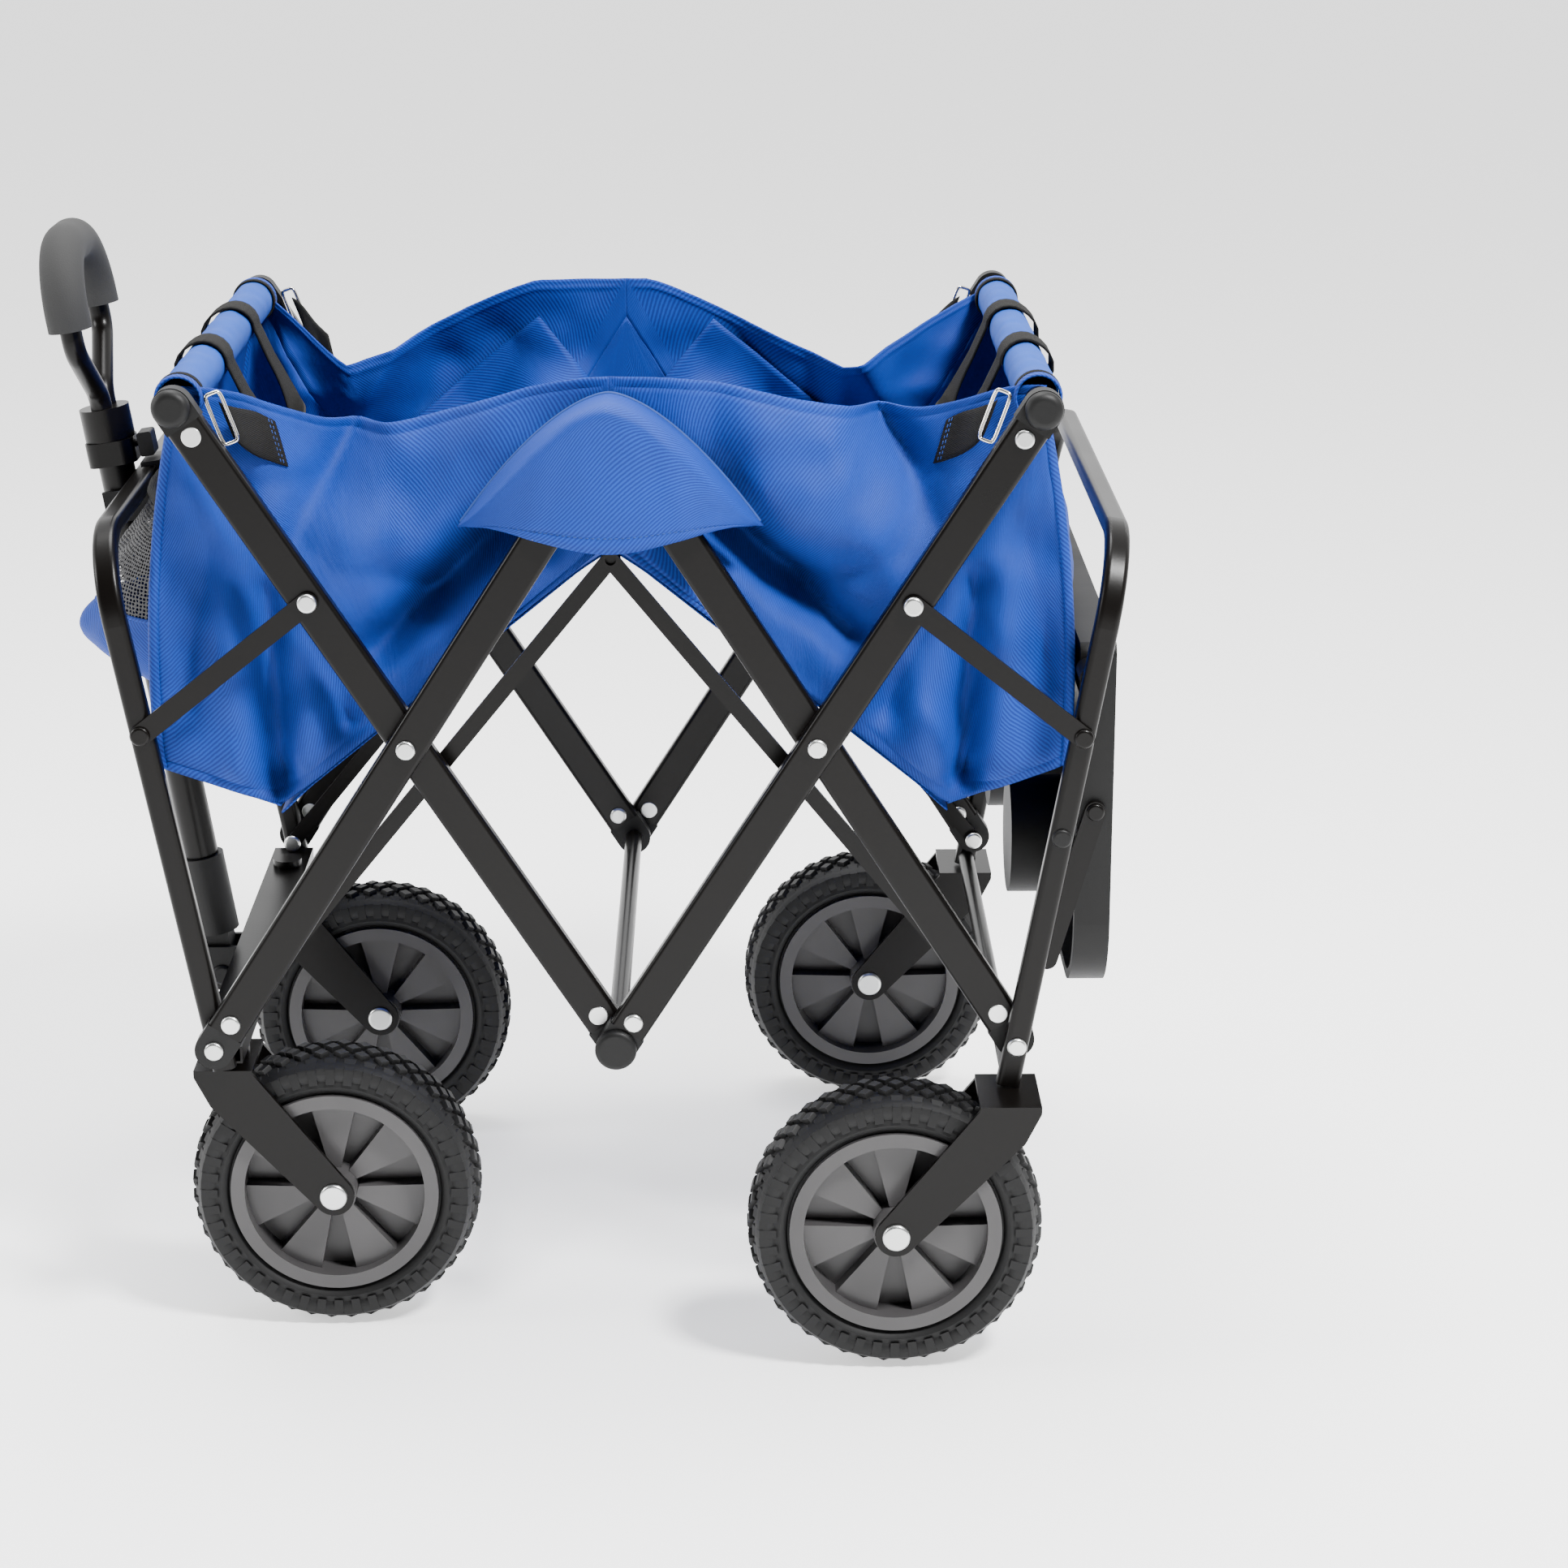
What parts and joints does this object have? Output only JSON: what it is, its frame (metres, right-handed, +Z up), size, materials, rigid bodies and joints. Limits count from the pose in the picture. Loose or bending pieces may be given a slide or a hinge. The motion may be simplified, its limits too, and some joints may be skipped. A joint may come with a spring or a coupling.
{
  "type": "folding wagon",
  "caption": "Folding utility wagon with a cloth bag on a scissor frame, a telescoping pull handle, front casters and a hinged rear table with cup holders.",
  "frame": {"origin": "centre of the bounding box on the ground", "axes": "+X towards the rear with the table, the handle at -X, +Y to the wagon's right, +Z up"},
  "size_m": [0.7322, 0.557, 0.7414],
  "materials": {
    "black_frame": "satin powder coat",
    "black_plastic": "matte moulded",
    "rivet_steel": "polished zinc",
    "blue_cloth": "woven polyester",
    "tyre": "matte rubber",
    "wheel_grey": "satin moulded",
    "grip_foam": "smooth foam"
  },
  "bodies": {
    "centre": {"centre_tube": "black_frame", "bottom_hubs": "black_plastic"},
    "front_long_pair": {"front_long_bars": "black_frame", "front_long_bar_ends": "black_plastic", "front_long_bar_rivets": "rivet_steel", "front_rim_bar": "black_frame", "front_rim_sleeve": "blue_cloth"},
    "front_short_pair": {"front_short_bars": "black_frame", "front_short_bar_ends": "black_plastic", "front_short_bar_rivets": "rivet_steel"},
    "front_link_pair": {"front_links": "black_frame"},
    "front_floor_bar_pair": {"front_floor_bars": "black_frame"},
    "front_bag_end": {"front_end_cloth": "blue_cloth"},
    "front_bag_floor": {"front_floor_board": "blue_cloth"},
    "front_bag_ridge": {"front_floor_ridge": "blue_cloth"},
    "rear_long_pair": {"rear_long_bars": "black_frame", "rear_long_bar_ends": "black_plastic", "rear_long_bar_rivets": "rivet_steel", "rear_rim_bar": "black_frame", "rear_rim_sleeve": "blue_cloth"},
    "rear_short_pair": {"rear_short_bars": "black_frame", "rear_short_bar_ends": "black_plastic", "rear_short_bar_rivets": "rivet_steel"},
    "rear_link_pair": {"rear_links": "black_frame"},
    "rear_floor_bar_pair": {"rear_floor_bars": "black_frame"},
    "rear_bag_end": {"rear_end_cloth": "blue_cloth"},
    "rear_bag_floor": {"rear_floor_board": "blue_cloth"},
    "rear_bag_ridge": {"rear_floor_ridge": "blue_cloth"},
    "top_centre": {"top_hubs": "black_plastic", "side_cloth_left": "blue_cloth", "side_cloth_right": "blue_cloth"},
    "front_legs": {"front_leg_frame": "black_frame", "front_cross_member": "black_frame", "handle_clevis": "black_frame", "handle_clip": "black_plastic"},
    "rear_legs": {"rear_leg_frame": "black_frame", "rear_forks": "black_frame", "rear_axles": "rivet_steel", "table_hinge": "black_frame"},
    "handle": {"handle_knuckle": "black_plastic", "handle_lower_tube": "black_frame"},
    "handle_slider": {"handle_upper_tube": "black_frame", "handle_loop": "black_frame", "handle_grip": "grip_foam"},
    "release_tab": {"handle_release_tab": "black_plastic"},
    "table": {"table_panel": "black_plastic", "cup_holders": "black_plastic"},
    "table_struts": {"table_strut": "black_frame"},
    "caster_left": {"caster_fork_left": "black_frame", "caster_axle_left": "rivet_steel"},
    "front_wheel_left": {"front_tyre_left": "tyre", "front_wheel_rim_left": "wheel_grey"},
    "rear_wheel_left": {"rear_tyre_left": "tyre", "rear_wheel_rim_left": "wheel_grey"},
    "caster_right": {"caster_fork_right": "black_frame", "caster_axle_right": "rivet_steel"},
    "front_wheel_right": {"front_tyre_right": "tyre", "front_wheel_rim_right": "wheel_grey"},
    "rear_wheel_right": {"rear_tyre_right": "tyre", "rear_wheel_rim_right": "wheel_grey"}
  },
  "joints": [
    {"name": "fold", "type": "hinge", "parent": "centre", "child": "front_long_pair", "pos_m": [0.02704, 0, 0.223], "axis": [0, 1, 0], "range_deg": [-25.9, 25.7], "deforming": ["front_end_cloth", "front_floor_board", "front_floor_ridge", "rear_end_cloth", "rear_floor_board", "rear_floor_ridge", "side_cloth_left", "side_cloth_right"]},
    {"name": "rear_long_turn", "type": "hinge", "parent": "centre", "child": "rear_long_pair", "pos_m": [0.02704, 0, 0.223], "axis": [0, 1, 0], "range_deg": [-25.71, 25.91]},
    {"name": "front_crossing", "type": "hinge", "parent": "front_long_pair", "child": "front_short_pair", "pos_m": [-0.10694, 0, 0.43169], "axis": [0, 1, 0], "range_deg": [-51.41, 51.81]},
    {"name": "rear_crossing", "type": "hinge", "parent": "rear_long_pair", "child": "rear_short_pair", "pos_m": [0.16102, 0, 0.43169], "axis": [0, 1, 0], "range_deg": [-51.81, 51.41]},
    {"name": "front_foot", "type": "hinge", "parent": "front_short_pair", "child": "front_legs", "pos_m": [-0.24092, 0, 0.223], "axis": [0, 1, 0], "range_deg": [-25.91, 25.71]},
    {"name": "rear_foot", "type": "hinge", "parent": "rear_short_pair", "child": "rear_legs", "pos_m": [0.295, 0, 0.223], "axis": [0, 1, 0], "range_deg": [-25.71, 25.91]},
    {"name": "top_pivot", "type": "hinge", "parent": "front_short_pair", "child": "top_centre", "pos_m": [0.02704, 0, 0.64039], "axis": [0, 1, 0], "range_deg": [-25.91, 25.71]},
    {"name": "front_link_turn", "type": "hinge", "parent": "front_long_pair", "child": "front_link_pair", "pos_m": [-0.16853, 0, 0.52763], "axis": [0, 1, 0], "range_deg": [-52.44, 52.85]},
    {"name": "rear_link_turn", "type": "hinge", "parent": "rear_long_pair", "child": "rear_link_pair", "pos_m": [0.22261, 0, 0.52763], "axis": [0, 1, 0], "range_deg": [-52.85, 52.44]},
    {"name": "front_floor_bar_turn", "type": "hinge", "parent": "front_legs", "child": "front_floor_bar_pair", "pos_m": [-0.24092, 0, 0.223], "axis": [0, 1, 0], "range_deg": [-38.56, 38.86]},
    {"name": "rear_floor_bar_turn", "type": "hinge", "parent": "rear_legs", "child": "rear_floor_bar_pair", "pos_m": [0.295, 0, 0.223], "axis": [0, 1, 0], "range_deg": [-38.86, 38.56]},
    {"name": "front_bag_end_swing", "type": "hinge", "parent": "front_long_pair", "child": "front_bag_end", "pos_m": [-0.2501, 0, 0.6547], "axis": [0, 1, 0], "range_deg": [-17.74, 17.88]},
    {"name": "rear_bag_end_swing", "type": "hinge", "parent": "rear_long_pair", "child": "rear_bag_end", "pos_m": [0.30418, 0, 0.6547], "axis": [0, 1, 0], "range_deg": [-17.88, 17.74]},
    {"name": "front_floor_fold", "type": "hinge", "parent": "front_bag_end", "child": "front_bag_floor", "pos_m": [-0.18996, 0, 0.391], "axis": [0, 1, 0], "range_deg": [-45.11, 45.46]},
    {"name": "rear_floor_fold", "type": "hinge", "parent": "rear_bag_end", "child": "rear_bag_floor", "pos_m": [0.24404, 0, 0.391], "axis": [0, 1, 0], "range_deg": [-45.46, 45.11]},
    {"name": "front_floor_spread", "type": "slide", "parent": "front_bag_floor", "child": "front_bag_ridge", "axis": [0.7996, 0, 0.6006], "range_m": [-0.07254, 0.0731]},
    {"name": "rear_floor_spread", "type": "slide", "parent": "rear_bag_floor", "child": "rear_bag_ridge", "axis": [-0.7996, 0, 0.6006], "range_m": [-0.07254, 0.0731]},
    {"name": "handle_fold", "type": "hinge", "parent": "front_legs", "child": "handle", "pos_m": [-0.26696, 0, 0.195], "axis": [0, -1, 0], "range_deg": [0, 85]},
    {"name": "handle_extend", "type": "slide", "parent": "handle", "child": "handle_slider", "axis": [-0.1564, 0, 0.9877], "range_m": [0, 0.3]},
    {"name": "handle_release", "type": "slide", "parent": "handle", "child": "release_tab", "axis": [-0.9877, 0, -0.1564], "range_m": [0, 0.002], "stiffness_N_per_m": 500},
    {"name": "table_swing", "type": "hinge", "parent": "rear_legs", "child": "table", "pos_m": [0.33964, 0, 0.475], "axis": [0, -1, 0], "range_deg": [0, 90]},
    {"name": "table_strut_turn", "type": "hinge", "parent": "table", "child": "table_struts", "pos_m": [0.34704, 0, 0.377], "axis": [0, -1, 0], "range_deg": [-143.2, 0]},
    {"name": "caster_swivel_left", "type": "hinge", "parent": "front_legs", "child": "caster_left", "pos_m": [-0.24096, -0.172, 0.204], "axis": [0, 0, 1], "continuous": true},
    {"name": "front_wheel_spin_left", "type": "hinge", "parent": "caster_left", "child": "front_wheel_left", "pos_m": [-0.16996, -0.172, 0.1], "axis": [0, 1, 0], "continuous": true},
    {"name": "rear_wheel_spin_left", "type": "hinge", "parent": "rear_legs", "child": "rear_wheel_left", "pos_m": [0.21404, -0.245, 0.1], "axis": [0, 1, 0], "continuous": true},
    {"name": "caster_swivel_right", "type": "hinge", "parent": "front_legs", "child": "caster_right", "pos_m": [-0.24096, 0.172, 0.204], "axis": [0, 0, 1], "continuous": true},
    {"name": "front_wheel_spin_right", "type": "hinge", "parent": "caster_right", "child": "front_wheel_right", "pos_m": [-0.16996, 0.172, 0.1], "axis": [0, 1, 0], "continuous": true},
    {"name": "rear_wheel_spin_right", "type": "hinge", "parent": "rear_legs", "child": "rear_wheel_right", "pos_m": [0.21404, 0.245, 0.1], "axis": [0, 1, 0], "continuous": true}
  ],
  "couplings": [
    {"joint": "rear_long_turn", "follows": "fold", "ratio": -1},
    {"joint": "front_crossing", "follows": "fold", "ratio": -2},
    {"joint": "rear_crossing", "follows": "fold", "ratio": 2},
    {"joint": "front_foot", "follows": "fold", "ratio": 1},
    {"joint": "rear_foot", "follows": "fold", "ratio": -1},
    {"joint": "top_pivot", "follows": "fold", "ratio": 1},
    {"joint": "front_link_turn", "follows": "fold", "ratio": -2.04},
    {"joint": "rear_link_turn", "follows": "fold", "ratio": 2.04},
    {"joint": "front_floor_bar_turn", "follows": "fold", "ratio": -1.5},
    {"joint": "rear_floor_bar_turn", "follows": "fold", "ratio": 1.5},
    {"joint": "front_bag_end_swing", "follows": "fold", "ratio": -0.69},
    {"joint": "rear_bag_end_swing", "follows": "fold", "ratio": 0.69},
    {"joint": "front_floor_fold", "follows": "fold", "ratio": -1.755},
    {"joint": "rear_floor_fold", "follows": "fold", "ratio": 1.755},
    {"joint": "front_floor_spread", "follows": "fold", "m_per_rad": -0.1615},
    {"joint": "rear_floor_spread", "follows": "fold", "m_per_rad": -0.1615},
    {"joint": "table_strut_turn", "follows": "table_swing", "ratio": -1.59}
  ]
}
